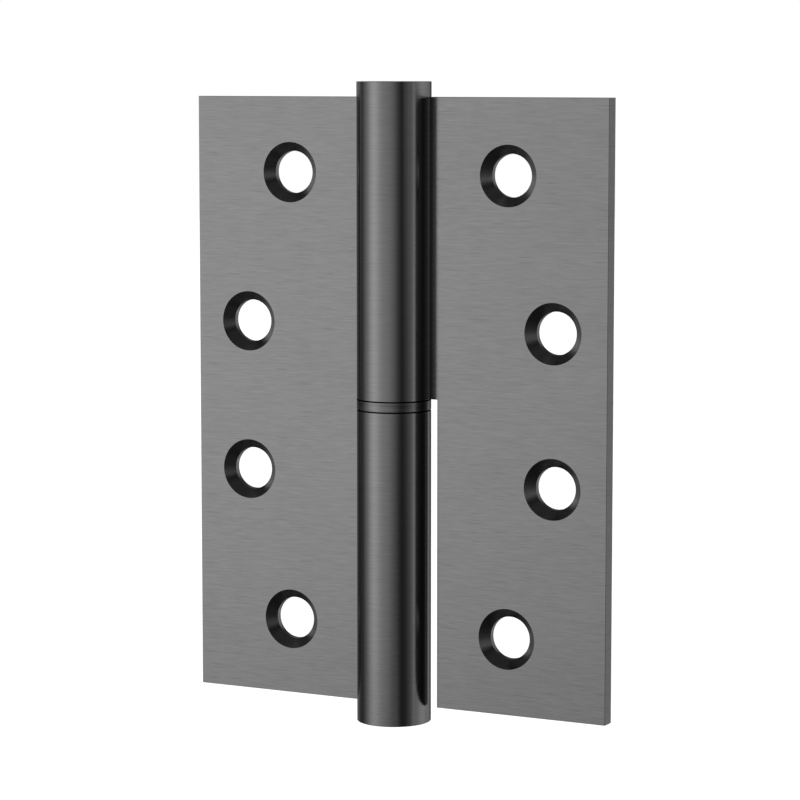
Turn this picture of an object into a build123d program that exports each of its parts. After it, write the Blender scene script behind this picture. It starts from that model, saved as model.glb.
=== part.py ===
from build123d import *
import os

# A lift-off door hinge, laid open flat. The frame leaf carries the lower knuckle with the pin
# pressed into it. The door leaf carries the upper knuckle, which drops over the pin and rests
# on a bearing washer, so the door lifts straight off.
#
# Millimetres. The origin is on the pin's axis at mid-height. +Z is up along the pin, +X points
# across the door leaf and -Y points out of the leaves' front faces, where the screw heads sit.

# Leaves
LEAF_HEIGHT = 100.0
OPEN_WIDTH = 75.0
LEAF_THICKNESS = 2.5
CLOSED_GAP = 2.0
LEAF_EDGE_BREAK = 0.05

# Barrel
BARREL_DIAMETER = 12.2
BARREL_OVERHANG = 2.5
BARREL_EDGE_BREAK = 0.06
NOTCH_CLEARANCE = 1.3

# Pin and plug
PIN_DIAMETER = 7.0
PIN_NOSE_LENGTH = 3.0
PIN_NOSE_TIP_DIAMETER = 4.0
PIN_NOSE_ROUNDING = 1.0
PIN_HEADROOM = 3.5
PLUG_LENGTH = 8.0
BORE_MOUTH_CHAMFER = 0.4
END_CHAMFER = 0.25

# Bearing washer
WASHER_RIM_THICKNESS = 1.45
WASHER_RELIEF = 0.25
WASHER_LAND_DIAMETER = 9.0

# Screw holes
HOLE_DIAMETER = 7.0
HEAD_DIAMETER = 10.0
HEAD_ANGLE = 90.0
HOLE_PITCH = 25.0
NEAR_HOLE_X = 20.0
FAR_HOLE_X = 28.0

# Fits, on the radius
RUNNING_CLEARANCE = 0.05
PRESS_INTERFERENCE = 0.01

# What follows from the sizes above
HALF_HEIGHT = LEAF_HEIGHT / 2
HALF_WIDTH = OPEN_WIDTH / 2
LEAF_FRONT = CLOSED_GAP / 2
BARREL_RADIUS = BARREL_DIAMETER / 2
BARREL_END = HALF_HEIGHT + BARREL_OVERHANG
PLUG_UNDERSIDE = BARREL_END - PLUG_LENGTH
PIN_TIP = PLUG_UNDERSIDE - PIN_HEADROOM
PIN_RADIUS = PIN_DIAMETER / 2
BORE_RADIUS = PIN_RADIUS + RUNNING_CLEARANCE
KNUCKLE_FACE = WASHER_RIM_THICKNESS / 2 + WASHER_RELIEF
NOTCH_X = BARREL_RADIUS + NOTCH_CLEARANCE

# The front face of both leaves, seen from in front: its own y is the hinge's Z.
FRONT_PLANE = Plane(origin=(0, LEAF_FRONT, 0), x_dir=(1, 0, 0), z_dir=(0, -1, 0))


def round_bar(radius, bottom, top):
    """A cylinder on the hinge's axis, from one height to another."""
    height = top - bottom
    return Pos(0, 0, bottom) * Cylinder(
        radius, height, align=(Align.CENTER, Align.CENTER, Align.MIN)
    )


def end_edges(solid, height):
    """The circular edges of a solid that lie in the level plane at that height."""
    return solid.edges().filter_by(GeomType.CIRCLE).filter_by_position(Axis.Z, height, height)


def bore_edge(solid, height):
    """The edge of a bore in the level face at that height: the smallest circle there."""
    return end_edges(solid, height).sort_by(SortBy.RADIUS)[0]


def screw_hole_places():
    """Hole centres of the door leaf: the outer pair sits nearer the barrel than the inner pair."""
    inner = HOLE_PITCH / 2
    outer = inner + HOLE_PITCH
    rows = ((NEAR_HOLE_X, outer), (FAR_HOLE_X, inner))
    return [(x, side * z) for x, z in rows for side in (1, -1)]


def leaf_plate():
    """The door leaf's plate: it runs into the upper knuckle and is notched beside the lower one."""
    with BuildPart() as plate:
        with BuildSketch(FRONT_PLANE):
            with BuildLine():
                Polyline(
                    (0, KNUCKLE_FACE),
                    (0, HALF_HEIGHT),
                    (HALF_WIDTH, HALF_HEIGHT),
                    (HALF_WIDTH, -HALF_HEIGHT),
                    (NOTCH_X, -HALF_HEIGHT),
                    (NOTCH_X, KNUCKLE_FACE),
                    close=True,
                )
            make_face()
        extrude(amount=-LEAF_THICKNESS)
        faces = plate.faces().filter_by(Axis.Y)
        chamfer(faces.edges(), LEAF_EDGE_BREAK)
        with Locations(FRONT_PLANE):
            with Locations(*screw_hole_places()):
                CounterSinkHole(
                    radius=HOLE_DIAMETER / 2,
                    counter_sink_radius=HEAD_DIAMETER / 2,
                    counter_sink_angle=HEAD_ANGLE,
                )
    return plate.part


def leaf_with_knuckle():
    """The door leaf's plate in one with its solid, undrilled knuckle."""
    knuckle = round_bar(BARREL_RADIUS, KNUCKLE_FACE, BARREL_END)
    knuckle = chamfer(end_edges(knuckle, BARREL_END), BARREL_EDGE_BREAK)
    return leaf_plate() + knuckle


def make_door_leaf():
    """Upper leaf, bored right through to run on the pin and take the plug."""
    leaf = leaf_with_knuckle() - round_bar(BORE_RADIUS, KNUCKLE_FACE, BARREL_END)
    leaf = chamfer(bore_edge(leaf, KNUCKLE_FACE), BORE_MOUTH_CHAMFER)
    return chamfer(bore_edge(leaf, BARREL_END), END_CHAMFER)


def make_frame_leaf():
    """Lower leaf: the same blank turned over, bored to grip the pin."""
    leaf = Rot(0, 180, 0) * leaf_with_knuckle()
    leaf -= round_bar(PIN_RADIUS - PRESS_INTERFERENCE, -BARREL_END, -KNUCKLE_FACE)
    return chamfer(bore_edge(leaf, -BARREL_END), END_CHAMFER)


def make_hinge_pin():
    """Pin flush with the barrel's lower end, with a tapered and rounded nose at the top."""
    shoulder = PIN_TIP - PIN_NOSE_LENGTH
    pin = round_bar(PIN_RADIUS, -BARREL_END, shoulder)
    pin = chamfer(end_edges(pin, -BARREL_END), END_CHAMFER)
    nose = Pos(0, 0, shoulder) * Cone(
        PIN_RADIUS,
        PIN_NOSE_TIP_DIAMETER / 2,
        PIN_NOSE_LENGTH,
        align=(Align.CENTER, Align.CENTER, Align.MIN),
    )
    nose = fillet(end_edges(nose, PIN_TIP), PIN_NOSE_ROUNDING)
    return pin + nose


def make_bearing_washer():
    """Washer with a raised land on each side, which leaves a fine gap above and below its rim."""
    rim = WASHER_RIM_THICKNESS / 2
    washer = round_bar(BARREL_RADIUS, -rim, rim)
    washer += round_bar(WASHER_LAND_DIAMETER / 2, -KNUCKLE_FACE, KNUCKLE_FACE)
    return washer - round_bar(BORE_RADIUS, -KNUCKLE_FACE, KNUCKLE_FACE)


def make_top_plug():
    """Plug pressed into the upper knuckle, flush with the barrel's upper end."""
    plug = round_bar(BORE_RADIUS + PRESS_INTERFERENCE, PLUG_UNDERSIDE, BARREL_END)
    return chamfer(plug.edges().filter_by(GeomType.CIRCLE), END_CHAMFER)


PIECES = {
    "frame_leaf": make_frame_leaf,
    "door_leaf": make_door_leaf,
    "hinge_pin": make_hinge_pin,
    "bearing_washer": make_bearing_washer,
    "top_plug": make_top_plug,
}

os.makedirs("parts", exist_ok=True)
for node, make in PIECES.items():
    piece = make()
    piece.label = node
    export_step(piece, f"parts/{node}.step")
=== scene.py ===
import math

import bpy
import numpy as np
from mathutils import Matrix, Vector


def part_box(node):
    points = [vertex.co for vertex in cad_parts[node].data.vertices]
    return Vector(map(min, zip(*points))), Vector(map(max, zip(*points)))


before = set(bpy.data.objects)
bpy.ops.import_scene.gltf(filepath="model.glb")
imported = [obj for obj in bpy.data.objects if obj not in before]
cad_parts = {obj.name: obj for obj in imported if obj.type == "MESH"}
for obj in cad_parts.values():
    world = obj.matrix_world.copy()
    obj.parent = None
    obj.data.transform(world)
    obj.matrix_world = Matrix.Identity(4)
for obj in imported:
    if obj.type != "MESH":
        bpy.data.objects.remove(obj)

bl_info = {
    "name": "Lift-off hinge looks",
    "version": (1, 0, 0),
    "blender": (4, 5, 0),
    "location": "3D View > Sidebar > Hinge",
    "description": "Dresses a lift-off hinge in brushed metal and sets a small studio round it",
    "category": "Object",
}

# Lengths are in metres, in the frame of the solids: +Z up along the pin, -Y out of the leaves' fronts.
MM = 0.001
FRONT = (0.0, -1.0, 0.0)
BARREL_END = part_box("door_leaf")[1].z
BARREL_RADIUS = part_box("bearing_washer")[1].x
WASHER_HALF_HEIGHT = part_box("bearing_washer")[1].z
WASHER_LAND_RADIUS = 4.5 * MM
PIN_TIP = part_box("hinge_pin")[1].z

# Screw holes: their places across and up from the pin's middle, the same in all four quarters, the
# radius of their cones, and how deep in Y these start and stop.
HOLE_PLACES = ((20 * MM, 0.0, 37.5 * MM), (28 * MM, 0.0, 12.5 * MM))
CONE_RADIUS = 5 * MM
CONE_MOUTH = 1 * MM
CONE_FOOT = 2.5 * MM

# Where one finish gives way to another: start and stop, counted from the edge that it follows.
# The first two bound the painted shade in the grooves between the knuckles.
GAP_SHADE_SIDE = (-0.06 * MM, -0.02 * MM)
GAP_SHADE_FACE = (0.01 * MM, 0.03 * MM)
CONE_SIDE = (0.0, 0.1 * MM)
CONE_START = (0.02 * MM, 0.06 * MM)
CONE_STOP = (-0.06 * MM, -0.02 * MM)
KNUCKLE_SIDE = (0.1 * MM, 0.5 * MM)
BARREL_FACE = (-0.05 * MM, -0.01 * MM)
WORN_FOOT = (0.0, 3 * MM)
WORN_HEAD = (-5 * MM, -3 * MM)
RISE = (0.0, 1.0)
FALL = (1.0, 0.0)

# Marks whose sizes are no settings: how far one reaches along X, Y and Z, a shift that keeps it
# from following the others, and how much finer detail it has.
WAVES = {"size": (16 * MM, 16 * MM, 8 * MM), "detail": 1.0}
CLOUDS = {"size": (16 * MM, 16 * MM, 9 * MM), "detail": 3.0}
SCRATCHES = {"size": (4.5 * MM, 4.5 * MM, 0.12 * MM), "shift": (0.3, 0.9, 0.1), "detail": 0.0}
GROOVES = {"size": (4 * MM, 4 * MM, 0.07 * MM), "shift": (0.1, 0.4, 0.6), "detail": 1.0}
STAINS = {"size": (5 * MM, 5 * MM, 8 * MM), "shift": (0.2, 0.5, 0.3), "detail": 3.0}
BREAKS = {"size": (3 * MM, 3 * MM, 0.5 * MM), "shift": (0.6, 0.1, 0.8), "detail": 2.0}
NOISE_ROUGHNESS = 0.55
WAVE_HEIGHT = 0.1 * MM
GRINDING_LENGTH = 9 * MM

# The brush marks' second layer is longer and higher than the first, and falls where that one rises.
RISING_TILT = math.radians(0.7)
FALLING_TILT = math.radians(-0.5)
FALLING_SHIFT = (0.5, 0.2, 0.7)
FALLING_LENGTH = 1.7
FALLING_HEIGHT = 1.15

# How far clouds, stains and breaks move a tone up and down.
CLOUD_REACH = 0.1
STAIN_REACH = 0.25
BREAK_REACH = 0.2

# Tones of a pattern between which a metal goes from one look to the other.
MIDDLE_TONES = (0.3, 0.7)
LEAF_TONES = (-0.2, 0.2)
SCRATCH_TONES = (0.70, 0.80)
PIN_TONES = (0.25, 0.75)
PIN_WEAR_TONES = (0.2, 0.8)

# Factors on a metal's colour, and on its roughness at a pattern's lower and upper tone.
SCRATCH_SHADE = 0.25
PIN_SHADES = (0.75, 1.2)
PIN_POLISH = 1.45
LEAF_ROUGHNESS = (1.15, 0.85)
PIN_ROUGHNESS = (0.8, 1.3)
TURNED_ROUGHNESS = (0.85, 1.2)

# Depth of the grooves: a share of the leaf's own in its cones, and lengths on the other metals.
CONE_GROOVES = 0.3
PIN_GROOVES = 0.004 * MM
TURNED_GROOVES = 0.003 * MM

# Painted shade: the grooves between the knuckles get a dark colour and more roughness. The tint dims
# reflections at grazing angles.
GAP_SHADE_COLOR = (0.02, 0.018, 0.015, 1.0)
GAP_SHADE_ROUGHNESS = 0.4
EDGE_TINT = (0.6, 0.6, 0.6, 1.0)
WHITE = (1.0, 1.0, 1.0, 1.0)

# Soft light panels that stand round the hinge: azimuth and elevation of each one's middle, the
# spread of its bell to each side and half its height, as angles in degrees, and its brightness.
# Azimuth 0 is in front of the leaves. The panels' soft edge and the grid's step are angles too.
ALL_ROUND = 1000.0
PANELS = {
    "left key": (-37.4, 0.0, 18.7, 17.0, 1.095),
    "front fill": (4.5, -3.5, 16.3, 13.5, 0.457),
    "front fill edge": (27.0, 1.0, 12.0, 10.0, 0.17),
    "left strip": (-72.5, 2.0, 7.5, 12.0, 0.14),
    "left back strip": (-109.0, 11.0, 12.0, 11.0, 0.40),
    "left back panel": (-135.0, 3.0, 19.0, 27.0, 0.42),
    "right slim strip": (62.0, 14.0, 4.0, 5.5, 0.33),
    "right slim strip foot": (62.0, 3.0, 4.0, 6.0, 0.10),
    "right strip": (73.5, 6.0, 5.0, 8.0, 0.17),
    "right fill": (88.0, -3.0, 13.5, 14.0, 0.18),
    "right edge strip": (91.0, -6.0, 3.5, 12.0, 0.20),
    "right back panel": (129.0, -8.0, 22.5, 26.0, 0.67),
    "back panel": (165.0, -4.0, 9.0, 26.0, 0.35),
    "low front panel": (-32.0, -34.0, 32.0, 15.0, 0.50),
    "low right panel": (35.0, -29.0, 6.5, 8.0, 0.45),
    "low back panel": (-175.0, -32.0, 25.0, 12.0, 0.45),
    "ground panel": (-20.0, -59.0, 20.0, 8.0, 0.40),
    "ground panel right": (6.0, -56.0, 10.0, 6.5, 0.32),
    "front high strip": (13.0, 27.0, 12.0, 6.0, 0.28),
    "high front panel": (-30.0, 36.0, 24.0, 12.0, 0.35),
    "right high strip": (104.0, 27.0, 14.0, 7.0, 0.28),
    "dim ceiling": (0.0, 58.0, ALL_ROUND, 22.0, 0.038),
    "back ceiling": (180.0, 55.0, 45.0, 20.0, 0.35),
    "overhead panel": (0.0, 90.0, ALL_ROUND, 4.0, 0.55),
}
PANEL_EDGE = 3.0
SURROUND_STEP = 2.0
SURROUND_BRIGHTNESS = 0.02

# The rest of the studio: the floor's grid, what floor and room shine, the lamp, the camera's reach.
FLOOR_RINGS = 12
FLOOR_CORNERS = 96
FLOOR_GLOW = 0.55
ROOM_LIGHT = 0.35
LAMP_SPREAD = math.radians(30.0)
LAMP_TURN = (math.radians(28.0), math.radians(-22.0), 0.0)
CAMERA_REACH = (0.01, 100.0)


class BrushedLeafMetal(bpy.types.PropertyGroup):
    """Finish of the two leaves and their knuckles."""

    color: bpy.props.FloatVectorProperty(
        name="Colour", description="Colour of the dark metal", subtype="COLOR", size=3,
        min=0.0, max=1.0, default=(0.24, 0.24, 0.24))
    roughness: bpy.props.FloatProperty(
        name="Roughness", description="Softness of the reflections", subtype="FACTOR",
        min=0.0, max=1.0, default=0.12)
    streak_length: bpy.props.FloatProperty(
        name="Streak length", description="Usual length of a brush mark", unit="LENGTH",
        min=0.0, default=2.4 * MM)
    streak_height: bpy.props.FloatProperty(
        name="Streak height", description="Usual height of a brush mark", unit="LENGTH",
        min=0.0, default=0.24 * MM)
    streak_contrast: bpy.props.FloatProperty(
        name="Streak contrast", description="How much lighter and darker the brush marks are",
        subtype="FACTOR", min=0.0, max=1.0, default=0.086)
    barrel_contrast: bpy.props.FloatProperty(
        name="Barrel contrast", description="Share of the marks' contrast that the knuckles keep",
        subtype="FACTOR", min=0.0, max=1.0, default=0.65)
    ring_spacing: bpy.props.FloatProperty(
        name="Ring spacing", description="Distance between the turning rings on the barrel's ends",
        unit="LENGTH", min=0.0, default=0.2 * MM)
    cone_roughness: bpy.props.FloatProperty(
        name="Cone roughness", description="Softness of the reflections in the countersinks",
        subtype="FACTOR", min=0.0, max=1.0, default=0.2)
    scratch_darkness: bpy.props.FloatProperty(
        name="Scratch darkness", description="How dark the few longer scratches are",
        subtype="FACTOR", min=0.0, max=1.0, default=0.2)
    groove_depth: bpy.props.FloatProperty(
        name="Groove depth", description="Depth of the fine brushing", unit="LENGTH",
        min=0.0, precision=6, default=0.0075 * MM)


class GroundPinSteel(bpy.types.PropertyGroup):
    """Finish of the pin."""

    color: bpy.props.FloatVectorProperty(
        name="Colour", description="Colour of the ground steel", subtype="COLOR", size=3,
        min=0.0, max=1.0, default=(0.46, 0.455, 0.445))
    roughness: bpy.props.FloatProperty(
        name="Roughness", description="Softness of the reflections", subtype="FACTOR",
        min=0.0, max=1.0, default=0.2)
    line_height: bpy.props.FloatProperty(
        name="Line height", description="Height of a grinding line", unit="LENGTH",
        min=0.0, default=0.09 * MM)
    worn_band: bpy.props.FloatProperty(
        name="Worn band", description="How much brighter the steel is where the knuckle runs on it",
        subtype="FACTOR", min=0.0, max=1.0, default=0.25)


class TurnedWasherMetal(bpy.types.PropertyGroup):
    """Finish of the bearing washer and of the plug."""

    color: bpy.props.FloatVectorProperty(
        name="Colour", description="Colour of the turned metal", subtype="COLOR", size=3,
        min=0.0, max=1.0, default=(0.22, 0.22, 0.22))
    roughness: bpy.props.FloatProperty(
        name="Roughness", description="Softness of the reflections", subtype="FACTOR",
        min=0.0, max=1.0, default=0.2)
    line_spacing: bpy.props.FloatProperty(
        name="Line spacing", description="Distance between turning lines", unit="LENGTH",
        min=0.0, default=0.16 * MM)
    line_contrast: bpy.props.FloatProperty(
        name="Line contrast", description="How much lighter and darker the turning lines are",
        subtype="FACTOR", min=0.0, max=1.0, default=0.35)


class Studio(bpy.types.PropertyGroup):
    """The floor, the light panels, the lamp and the camera."""

    floor_drop: bpy.props.FloatProperty(
        name="Floor drop", description="Height of the hinge's middle over the floor", unit="LENGTH",
        min=0.0, default=0.36)
    floor_radius: bpy.props.FloatProperty(
        name="Floor radius", description="Radius of the round floor", unit="LENGTH",
        min=0.0, default=8.0)
    floor_color: bpy.props.FloatVectorProperty(
        name="Floor colour", description="Colour of the floor", subtype="COLOR", size=3,
        min=0.0, max=1.0, default=(0.85, 0.85, 0.85))
    panel_distance: bpy.props.FloatProperty(
        name="Panel distance", description="Distance of the light panels from the pin",
        unit="LENGTH", min=0.0, default=2.0)
    panel_height: bpy.props.FloatProperty(
        name="Panel height", description="Reach of the panels over and under the hinge's middle",
        unit="LENGTH", min=0.0, default=0.33)
    lamp_strength: bpy.props.FloatProperty(
        name="Lamp strength", description="Strength of the lamp that casts the soft shadow",
        min=0.0, default=1.2)
    lens: bpy.props.FloatProperty(
        name="Lens", description="Focal length of the camera", unit="CAMERA",
        min=1.0, default=135.2)
    camera_place: bpy.props.FloatVectorProperty(
        name="Camera place", description="Where the camera stands", subtype="XYZ", unit="LENGTH",
        size=3, default=(0.226094, -0.433094, 0.054174))
    camera_aim: bpy.props.FloatVectorProperty(
        name="Camera aim", description="The point that the camera looks at", subtype="XYZ",
        unit="LENGTH", size=3, default=(0.001107, 0.0, 0.000711))


class HingeLooks(bpy.types.PropertyGroup):
    """All settings of the hinge's looks."""

    leaf: bpy.props.PointerProperty(
        name="Leaf metal", description="Finish of the leaves and knuckles", type=BrushedLeafMetal)
    pin: bpy.props.PointerProperty(
        name="Pin steel", description="Finish of the pin", type=GroundPinSteel)
    washer: bpy.props.PointerProperty(
        name="Turned metal", description="Finish of the washer and plug", type=TurnedWasherMetal)
    studio: bpy.props.PointerProperty(
        name="Studio", description="The floor, the light and the camera", type=Studio)


# Building nodes


def cleared_tree(owner):
    """The node tree of a material or a world, with nothing in it."""
    owner.use_nodes = True
    owner.node_tree.nodes.clear()
    return owner.node_tree


def new_material(name):
    """A material and its empty node tree."""
    material = bpy.data.materials.new(name)
    return material, cleared_tree(material)


def add_node(tree, kind, sockets=None, **settings):
    """A new node with its settings, each of its sockets set to a value or linked to an output."""
    node = tree.nodes.new(kind)
    for name, value in settings.items():
        setattr(node, name, value)
    for key, value in (sockets or {}).items():
        if isinstance(value, bpy.types.NodeSocket):
            tree.links.new(value, node.inputs[key])
        else:
            node.inputs[key].default_value = value
    return node


def do_math(tree, operation, first, second=0.0, third=0.0):
    """The result of one sum on two or three numbers."""
    node = add_node(tree, "ShaderNodeMath", {0: first, 1: second, 2: third}, operation=operation)
    return node.outputs["Value"]


def product(tree, first, *others):
    """Several numbers multiplied together."""
    for other in others:
        first = do_math(tree, "MULTIPLY", first, other)
    return first


def do_vectors(tree, operation, first, second=(0.0, 0.0, 0.0)):
    """The vector that comes of one or two vectors."""
    node = add_node(tree, "ShaderNodeVectorMath", {0: first, 1: second}, operation=operation)
    return node.outputs["Vector"]


def vector_length(tree, vector):
    """The length of a vector."""
    return add_node(tree, "ShaderNodeVectorMath", {0: vector}, operation="LENGTH").outputs["Value"]


def coordinate(tree, place, axis):
    """A place's X, Y or Z."""
    return add_node(tree, "ShaderNodeSeparateXYZ", {"Vector": place}).outputs[axis]


def spread(tree, value, old, new):
    """A number carried from one range to another, held at the new range's ends."""
    node = add_node(tree, "ShaderNodeMapRange", {
        "Value": value, "From Min": old[0], "From Max": old[1], "To Min": new[0], "To Max": new[1]})
    return node.outputs["Result"]


def ramp(tree, value, edge, reach, new):
    """A number carried to a new range across the reach, which is counted from an edge."""
    return spread(tree, value, (edge + reach[0], edge + reach[1]), new)


def either_side(tree, share, reach):
    """A share from nothing to one turned into a number from minus the reach to the reach."""
    return do_math(tree, "MULTIPLY_ADD", share, 2.0 * reach, -reach)


def noise(tree, place, size, turn=(0.0, 0.0, 0.0), shift=(0.0, 0.0, 0.0), detail=2.0):
    """Noise whose cells have the given size along each axis, turned and shifted."""
    mapped = add_node(tree, "ShaderNodeMapping", {
        "Vector": place, "Location": shift, "Rotation": turn, "Scale": size}, vector_type="TEXTURE")
    cells = add_node(tree, "ShaderNodeTexNoise", {
        "Vector": mapped.outputs["Vector"], "Scale": 1.0, "Detail": detail,
        "Roughness": NOISE_ROUGHNESS})
    return cells.outputs["Fac"]


def mix_colors(tree, share, first, second):
    """Two colours mixed by a share."""
    node = add_node(tree, "ShaderNodeMix", {0: share, 6: first, 7: second}, data_type="RGBA")
    return node.outputs[2]


def mix_vectors(tree, share, first, second):
    """Two vectors mixed by a share."""
    node = add_node(tree, "ShaderNodeMix", {0: share, 4: first, 5: second}, data_type="VECTOR")
    return node.outputs[1]


def shade(color, factor):
    """A colour made lighter or darker, with its alpha."""
    return tuple(min(1.0, part * factor) for part in color) + (1.0,)


def toned(tree, share, color, darker, lighter):
    """A metal's colour that goes from a darker to a lighter shade as the share grows."""
    return mix_colors(tree, share, shade(color, darker), shade(color, lighter))


def roughened(tree, pattern, tones, roughness, factors):
    """A metal's roughness, times one factor at a pattern's lower tone and one at its upper."""
    return spread(tree, pattern, tones, (roughness * factors[0], roughness * factors[1]))


def finish_metal(tree, color, roughness, normal, edge_tint):
    """Ends a metal's tree in its shader."""
    shader = add_node(tree, "ShaderNodeBsdfPrincipled", {
        "Base Color": color, "Roughness": roughness, "Normal": normal, "Metallic": 1.0,
        "Specular Tint": edge_tint})
    add_node(tree, "ShaderNodeOutputMaterial", {"Surface": shader.outputs["BSDF"]})


# Places on the hinge


def object_place(tree):
    """A point's place in the frame of the solids."""
    return add_node(tree, "ShaderNodeTexCoord").outputs["Object"]


def wavy_place(tree, place):
    """The place with its height moved a little up and down, so that level marks run wavy."""
    lift = either_side(tree, noise(tree, place, **WAVES), WAVE_HEIGHT)
    offset = add_node(tree, "ShaderNodeCombineXYZ", {"Z": lift})
    return do_vectors(tree, "ADD", place, offset.outputs["Vector"])


def axis_distance(tree, place):
    """How far a place lies from the pin's axis."""
    return vector_length(tree, do_vectors(tree, "MULTIPLY", place, (1.0, 1.0, 0.0)))


def axis_height(tree, place):
    """How far a place lies above or below the pin's middle."""
    return do_math(tree, "ABSOLUTE", coordinate(tree, place, "Z"))


def ring_place(tree, place):
    """Distance from the pin's axis in place of X, and the height, for marks that run round it."""
    joined = add_node(tree, "ShaderNodeCombineXYZ", {
        "X": axis_distance(tree, place), "Z": coordinate(tree, place, "Z")})
    return joined.outputs["Vector"]


def from_hole(tree, place):
    """The way from the middle of the nearest screw hole to a point, level with the leaf."""
    flat = do_vectors(tree, "MULTIPLY", place, (1.0, 0.0, 1.0))
    quarter = do_vectors(tree, "ABSOLUTE", flat)
    near, far = (do_vectors(tree, "SUBTRACT", quarter, hole) for hole in HOLE_PLACES)
    farther = do_math(tree, "GREATER_THAN", vector_length(tree, near), vector_length(tree, far))
    nearest = mix_vectors(tree, farther, near, far)
    return do_vectors(tree, "MULTIPLY", nearest, do_vectors(tree, "SIGN", flat))


def cone_share(tree, place, offset):
    """One on the countersinks' cones, else nothing."""
    depth = coordinate(tree, place, "Y")
    inside = ramp(tree, vector_length(tree, offset), CONE_RADIUS, CONE_SIDE, FALL)
    below = ramp(tree, depth, CONE_MOUTH, CONE_START, RISE)
    above = ramp(tree, depth, CONE_FOOT, CONE_STOP, FALL)
    return product(tree, inside, below, above)


def round_cone_normal(tree, cone, offset):
    """The surface's own normal, but on the cones that of a true right-angled cone: halfway between
    the hole's middle and the leaf's front."""
    inward = do_vectors(tree, "SUBTRACT", FRONT, do_vectors(tree, "NORMALIZE", offset))
    turned = add_node(tree, "ShaderNodeVectorTransform", {
        "Vector": do_vectors(tree, "NORMALIZE", inward)},
        vector_type="NORMAL", convert_from="OBJECT", convert_to="WORLD")
    own = add_node(tree, "ShaderNodeNewGeometry").outputs["Normal"]
    return mix_vectors(tree, cone, own, turned.outputs["Vector"])


def groove_bump(tree, height, depth, normal=None):
    """Normals of fine grooves of that depth, over the surface's own or a given normal."""
    sockets = {"Height": height, "Distance": depth, "Strength": 1.0}
    if normal is not None:
        sockets["Normal"] = normal
    return add_node(tree, "ShaderNodeBump", sockets).outputs["Normal"]


def gap_shade_share(tree, place):
    """One in the two fine grooves between the knuckles, where shade is painted, else nothing."""
    radius = axis_distance(tree, place)
    inside = ramp(tree, radius, BARREL_RADIUS, GAP_SHADE_SIDE, FALL)
    outside = ramp(tree, radius, WASHER_LAND_RADIUS, GAP_SHADE_SIDE, RISE)
    between = ramp(tree, axis_height(tree, place), WASHER_HALF_HEIGHT, GAP_SHADE_FACE, FALL)
    return product(tree, inside, outside, between)


def with_gap_shade(tree, place, color, roughness):
    """A metal's colour and roughness, with painted shade: dark and dull in the grooves between the
    knuckles.
    """
    share = gap_shade_share(tree, place)
    dulled = do_math(tree, "MULTIPLY_ADD", share, GAP_SHADE_ROUGHNESS, roughness)
    return mix_colors(tree, share, color, GAP_SHADE_COLOR), dulled


# Materials


def brush_streaks(tree, wavy, look):
    """Brush marks: the mean of a layer that rises a little and a longer one that falls a little."""
    length, height = look.streak_length, look.streak_height
    rising = noise(tree, wavy, (length, length, height), turn=(0.0, RISING_TILT, 0.0))
    longer, higher = length * FALLING_LENGTH, height * FALLING_HEIGHT
    falling = noise(tree, wavy, (longer, longer, higher), turn=(0.0, FALLING_TILT, 0.0),
                    shift=FALLING_SHIFT)
    return do_math(tree, "MULTIPLY", do_math(tree, "ADD", rising, falling), 0.5)


def end_rings(tree, place, spacing):
    """Turning rings on the barrel's two end faces, from minus one to one, and nothing elsewhere."""
    rings = noise(tree, ring_place(tree, place), (spacing, spacing, spacing), detail=1.0)
    ends = ramp(tree, axis_height(tree, place), BARREL_END, BARREL_FACE, RISE)
    return product(tree, ends, either_side(tree, rings, 1.0))


def brushed_leaf_metal(look):
    """Dark metal brushed level: short streaks, fine grooves, a few scratches, faint clouds."""
    material, tree = new_material("brushed_leaf_metal")
    place = object_place(tree)
    wavy = wavy_place(tree, place)
    streaks = brush_streaks(tree, wavy, look)
    clouds = either_side(tree, noise(tree, place, **CLOUDS), CLOUD_REACH)
    marks = do_math(tree, "SUBTRACT", do_math(tree, "ADD", streaks, clouds), 0.5)
    kept = ramp(tree, axis_distance(tree, place), BARREL_RADIUS, KNUCKLE_SIDE,
                (look.barrel_contrast, 1.0))
    tone = do_math(tree, "MULTIPLY_ADD", marks, kept, end_rings(tree, place, look.ring_spacing))
    brushed = toned(tree, spread(tree, tone, LEAF_TONES, RISE), look.color,
                    1.0 - look.streak_contrast, 1.0 + look.streak_contrast)
    scratches = spread(tree, noise(tree, wavy, **SCRATCHES), SCRATCH_TONES,
                       (0.0, look.scratch_darkness))
    scratched = mix_colors(tree, product(tree, scratches, kept), brushed,
                           shade(look.color, SCRATCH_SHADE))
    offset = from_hole(tree, place)
    cone = cone_share(tree, place, offset)
    rough = roughened(tree, streaks, MIDDLE_TONES, look.roughness, LEAF_ROUGHNESS)
    cut = do_math(tree, "MULTIPLY_ADD", cone, look.cone_roughness - look.roughness, rough)
    # Painted shade: the grooves between the knuckles are darkened in the colour.
    color, roughness = with_gap_shade(tree, place, scratched, cut)
    depth = spread(tree, cone, RISE, (look.groove_depth, look.groove_depth * CONE_GROOVES))
    normal = groove_bump(tree, noise(tree, wavy, **GROOVES), depth,
                         round_cone_normal(tree, cone, offset))
    finish_metal(tree, color, roughness, normal, EDGE_TINT)
    return material


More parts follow.
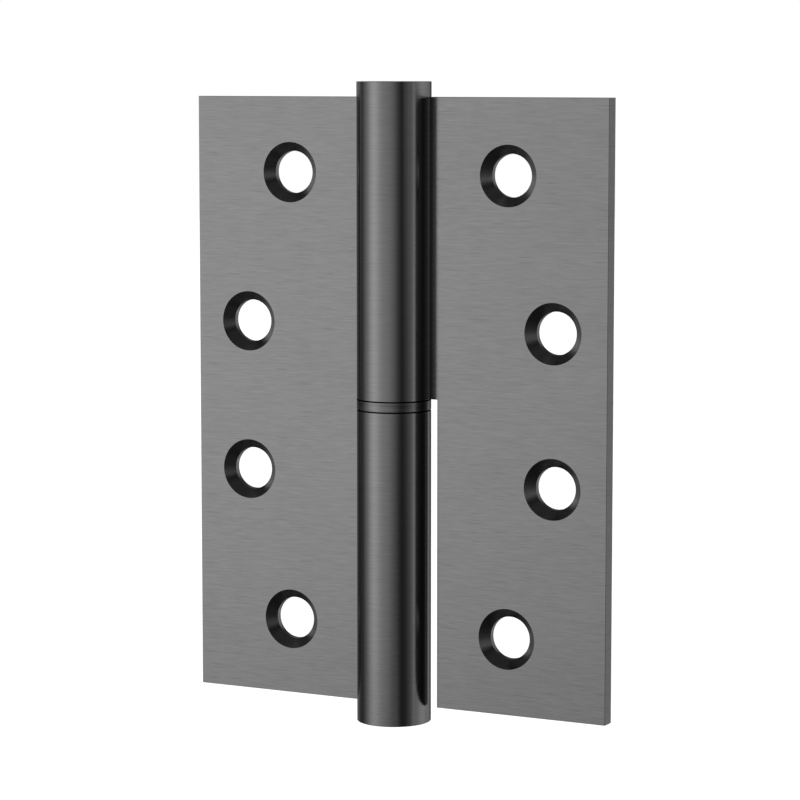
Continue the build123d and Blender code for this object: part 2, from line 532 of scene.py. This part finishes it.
def ground_pin_steel(look):
    """Paler ground steel: fine lines round the pin, and a brighter band where the knuckle runs."""
    material, tree = new_material("ground_pin_steel")
    place = object_place(tree)
    lines = noise(tree, place, (GRINDING_LENGTH, GRINDING_LENGTH, look.line_height))
    stains = either_side(tree, noise(tree, place, **STAINS), STAIN_REACH)
    tone = do_math(tree, "ADD", stains, lines)
    height = coordinate(tree, place, "Z")
    foot = ramp(tree, height, WASHER_HALF_HEIGHT, WORN_FOOT, RISE)
    head = ramp(tree, height, PIN_TIP, WORN_HEAD, FALL)
    worn = product(tree, foot, head, look.worn_band)
    ground = toned(tree, spread(tree, tone, PIN_TONES, RISE), look.color, *PIN_SHADES)
    polished = mix_colors(tree, worn, ground, shade(look.color, PIN_POLISH))
    roughness = roughened(tree, do_math(tree, "SUBTRACT", tone, worn), PIN_WEAR_TONES,
                          look.roughness, PIN_ROUGHNESS)
    finish_metal(tree, polished, roughness, groove_bump(tree, lines, PIN_GROOVES), WHITE)
    return material


def turned_metal(look, name):
    """Dark turned metal: rings round the axis on level faces and lines round the rims."""
    material, tree = new_material(name)
    place = object_place(tree)
    spacing = look.line_spacing
    lines = noise(tree, ring_place(tree, place), (spacing, spacing, spacing))
    breaks = noise(tree, place, **BREAKS)
    tone = do_math(tree, "ADD", lines, either_side(tree, breaks, BREAK_REACH))
    turned = toned(tree, spread(tree, tone, MIDDLE_TONES, RISE), look.color,
                   1.0 - look.line_contrast, 1.0 + look.line_contrast)
    rough = roughened(tree, breaks, MIDDLE_TONES, look.roughness, TURNED_ROUGHNESS)
    # Painted shade: the grooves between the washer and the knuckles are darkened in the colour.
    color, roughness = with_gap_shade(tree, place, turned, rough)
    finish_metal(tree, color, roughness, groove_bump(tree, lines, TURNED_GROOVES), EDGE_TINT)
    return material


def seen_share(tree):
    """One for what the camera, a reflection or a clear piece sees, and nothing for light."""
    path = add_node(tree, "ShaderNodeLightPath")
    seen = do_math(tree, "MAXIMUM", path.outputs["Is Camera Ray"], path.outputs["Is Glossy Ray"])
    return do_math(tree, "MAXIMUM", seen, path.outputs["Is Transmission Ray"])


def floor_paint(look):
    """Pale matt floor that reads as white round the shadow."""
    material, tree = new_material("pale_floor")
    matt = add_node(tree, "ShaderNodeBsdfDiffuse", {"Color": tuple(look.floor_color) + (1.0,)})
    glow = add_node(tree, "ShaderNodeEmission", {
        "Color": WHITE, "Strength": product(tree, seen_share(tree), FLOOR_GLOW)})
    both = add_node(tree, "ShaderNodeAddShader", {
        0: matt.outputs["BSDF"], 1: glow.outputs["Emission"]})
    add_node(tree, "ShaderNodeOutputMaterial", {"Surface": both.outputs["Shader"]})
    return material


def panel_glow_paint():
    """Light of the panels, read from the surround's own brightness attribute."""
    material, tree = new_material("panel_glow")
    material.cycles.emission_sampling = "NONE"
    level = add_node(tree, "ShaderNodeAttribute", attribute_name="panel_brightness")
    glow = add_node(tree, "ShaderNodeEmission", {"Color": WHITE, "Strength": level.outputs["Fac"]})
    add_node(tree, "ShaderNodeOutputMaterial", {"Surface": glow.outputs["Emission"]})
    return material


# Surfaces of the studio


def round_mesh(name, points):
    """A mesh on a grid of points, rows by columns, whose last column joins its first."""
    rows, columns = points.shape[:2]
    row, column = np.meshgrid(np.arange(rows - 1), np.arange(columns), indexing="ij")
    right = (column + 1) % columns
    corners = np.stack([row * columns + column, row * columns + right,
                        (row + 1) * columns + right, (row + 1) * columns + column], axis=-1)
    mesh = bpy.data.meshes.new(name)
    mesh.from_pydata(points.reshape(-1, 3), [], corners.reshape(-1, 4).tolist())
    mesh.shade_smooth()
    return mesh


def floor_points(radius, drop):
    """Round floor: distance from the middle times the angle's cosine and sine, at one height."""
    distance = radius * np.linspace(1.0, 0.0, FLOOR_RINGS)[:, None]
    angle = np.linspace(0.0, 2.0 * np.pi, FLOOR_CORNERS, endpoint=False)[None, :]
    height = np.full((FLOOR_RINGS, FLOOR_CORNERS), -drop)
    return np.stack([distance * np.cos(angle), distance * np.sin(angle), height], axis=-1)


def surround_angles():
    """Azimuth and elevation of the surround's points in degrees, all round and pole to pole."""
    elevation = np.arange(-90.0, 90.0 + SURROUND_STEP, SURROUND_STEP)
    return np.meshgrid(np.arange(-180.0, 180.0, SURROUND_STEP), elevation)


def surround_points(azimuth, elevation, distance, height):
    """Flattened ball round the hinge: each point stands in its direction, where that meets the ball
    of the given half-width and half-height."""
    turn, tilt = np.radians(azimuth), np.radians(elevation)
    out = np.cos(tilt)
    direction = np.stack([np.sin(turn) * out, -np.cos(turn) * out, np.sin(tilt)], axis=-1)
    reach = 1.0 / np.sqrt((out / distance) ** 2 + (np.sin(tilt) / height) ** 2)
    return direction * reach[..., None]


def panel_brightness(azimuth, elevation):
    """Brightness at each direction: a dim surround plus the panels, each a bell across its width
    with a soft step at its upper and lower ends."""
    total = np.full(azimuth.shape, SURROUND_BRIGHTNESS)
    for middle, height, width, half_height, level in PANELS.values():
        across = (azimuth - middle + 180.0) % 360.0 - 180.0
        beyond = np.abs(elevation - height) - half_height
        bell = np.exp(-0.5 * (across / width) ** 2)
        total += level * bell / (1.0 + np.exp(beyond / PANEL_EDGE))
    return total


# Dressing the solids and setting the stage


def dress(node, material):
    """Puts a material on a solid that keeps its own shape."""
    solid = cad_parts[node]
    solid.data.materials.clear()
    solid.data.materials.append(material)


def stage_object(name, mesh, material):
    """Links a mesh with its material as a piece of the studio."""
    thing = bpy.data.objects.new(name, mesh)
    bpy.context.scene.collection.objects.link(thing)
    mesh.materials.append(material)
    return thing


def set_world(scene):
    """White behind everything that is seen, softer as a light."""
    world = bpy.data.worlds.new("white_room")
    tree = cleared_tree(world)
    strength = do_math(tree, "MULTIPLY_ADD", seen_share(tree), 1.0 - ROOM_LIGHT, ROOM_LIGHT)
    back = add_node(tree, "ShaderNodeBackground", {"Color": WHITE, "Strength": strength})
    add_node(tree, "ShaderNodeOutputWorld", {"Surface": back.outputs["Background"]})
    scene.world = world


def add_floor(look):
    """The pale floor under the hinge."""
    mesh = round_mesh("floor", floor_points(look.floor_radius, look.floor_drop))
    stage_object("floor", mesh, floor_paint(look))


def add_surround(look):
    """The light panels: one closed surface that only reflections see."""
    azimuth, elevation = surround_angles()
    points = surround_points(azimuth, elevation, look.panel_distance, look.panel_height)
    mesh = round_mesh("light_panels", points)
    brightness = mesh.attributes.new("panel_brightness", "FLOAT", "POINT")
    brightness.data.foreach_set("value", panel_brightness(azimuth, elevation).ravel())
    surround = stage_object("light_panels", mesh, panel_glow_paint())
    surround.visible_camera = False
    surround.visible_diffuse = False
    surround.visible_shadow = False
    surround.visible_transmission = False


def add_lamp(scene, look):
    """A wide lamp high on the left, for the floor and its soft shadow."""
    lamp = bpy.data.lights.new("soft_lamp", "SUN")
    lamp.energy = look.lamp_strength
    lamp.angle = LAMP_SPREAD
    thing = bpy.data.objects.new("soft_lamp", lamp)
    thing.rotation_euler = LAMP_TURN
    thing.visible_glossy = False
    scene.collection.objects.link(thing)


def add_camera(scene, look):
    """The camera at the photograph's place, aimed level-headed at its point."""
    camera = bpy.data.cameras.new("camera")
    camera.lens = look.lens
    camera.clip_start, camera.clip_end = CAMERA_REACH
    thing = bpy.data.objects.new("camera", camera)
    thing.location = look.camera_place
    aim = Vector(look.camera_aim) - Vector(look.camera_place)
    thing.rotation_euler = aim.to_track_quat("-Z", "Y").to_euler()
    scene.collection.objects.link(thing)
    scene.camera = thing


# Operators and panel


class HINGE_OT_dress_leaves(bpy.types.Operator):
    """Give both leaves their level-brushed dark metal"""

    bl_idname = "hinge.dress_leaves"
    bl_label = "Dress leaves"

    def execute(self, context):
        metal = brushed_leaf_metal(context.scene.hinge_looks.leaf)
        for name in ("frame_leaf", "door_leaf"):
            dress(name, metal)
        return {"FINISHED"}


class HINGE_OT_dress_pin(bpy.types.Operator):
    """Give the pin its ground steel"""

    bl_idname = "hinge.dress_pin"
    bl_label = "Dress pin"

    def execute(self, context):
        dress("hinge_pin", ground_pin_steel(context.scene.hinge_looks.pin))
        return {"FINISHED"}


class HINGE_OT_dress_washer(bpy.types.Operator):
    """Give the bearing washer its turned metal"""

    bl_idname = "hinge.dress_washer"
    bl_label = "Dress washer"

    def execute(self, context):
        metal = turned_metal(context.scene.hinge_looks.washer, "turned_washer_metal")
        dress("bearing_washer", metal)
        return {"FINISHED"}


class HINGE_OT_dress_plug(bpy.types.Operator):
    """Give the plug in the barrel's upper end its turned metal"""

    bl_idname = "hinge.dress_plug"
    bl_label = "Dress plug"

    def execute(self, context):
        metal = turned_metal(context.scene.hinge_looks.washer, "turned_plug_metal")
        dress("top_plug", metal)
        return {"FINISHED"}


class HINGE_OT_build_stage(bpy.types.Operator):
    """Build the floor, the light panels, the lamp and the camera"""

    bl_idname = "hinge.build_stage"
    bl_label = "Build stage"

    def execute(self, context):
        scene = context.scene
        look = scene.hinge_looks.studio
        set_world(scene)
        add_floor(look)
        add_surround(look)
        add_lamp(scene, look)
        add_camera(scene, look)
        scene.view_settings.view_transform = "Standard"
        return {"FINISHED"}


class HINGE_PT_looks(bpy.types.Panel):
    """Lists the settings, and the steps that dress the hinge"""

    bl_idname = "HINGE_PT_looks"
    bl_label = "Lift-off hinge"
    bl_space_type = "VIEW_3D"
    bl_region_type = "UI"
    bl_category = "Hinge"

    def draw(self, context):
        looks = context.scene.hinge_looks
        for group in (looks.leaf, looks.pin, looks.washer, looks.studio):
            box = self.layout.box()
            for key in group.__annotations__:
                box.prop(group, key)
        for step in STEPS:
            self.layout.operator(step.bl_idname)


GROUPS = (BrushedLeafMetal, GroundPinSteel, TurnedWasherMetal, Studio, HingeLooks)
STEPS = (HINGE_OT_dress_leaves, HINGE_OT_dress_pin, HINGE_OT_dress_washer, HINGE_OT_dress_plug,
         HINGE_OT_build_stage)
CLASSES = GROUPS + STEPS + (HINGE_PT_looks,)


def register():
    """Registers the classes and gives each scene its settings."""
    for cls in CLASSES:
        bpy.utils.register_class(cls)
    bpy.types.Scene.hinge_looks = bpy.props.PointerProperty(
        type=HingeLooks, name="Hinge looks", description="All settings of the hinge's looks")


def unregister():
    """Takes the settings and the classes away again."""
    del bpy.types.Scene.hinge_looks
    for cls in reversed(CLASSES):
        bpy.utils.unregister_class(cls)


def main():
    """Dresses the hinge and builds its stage."""
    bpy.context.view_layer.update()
    register()
    bpy.ops.hinge.dress_leaves()
    bpy.ops.hinge.dress_pin()
    bpy.ops.hinge.dress_washer()
    bpy.ops.hinge.dress_plug()
    bpy.ops.hinge.build_stage()


if __name__ == "__main__":
    main()
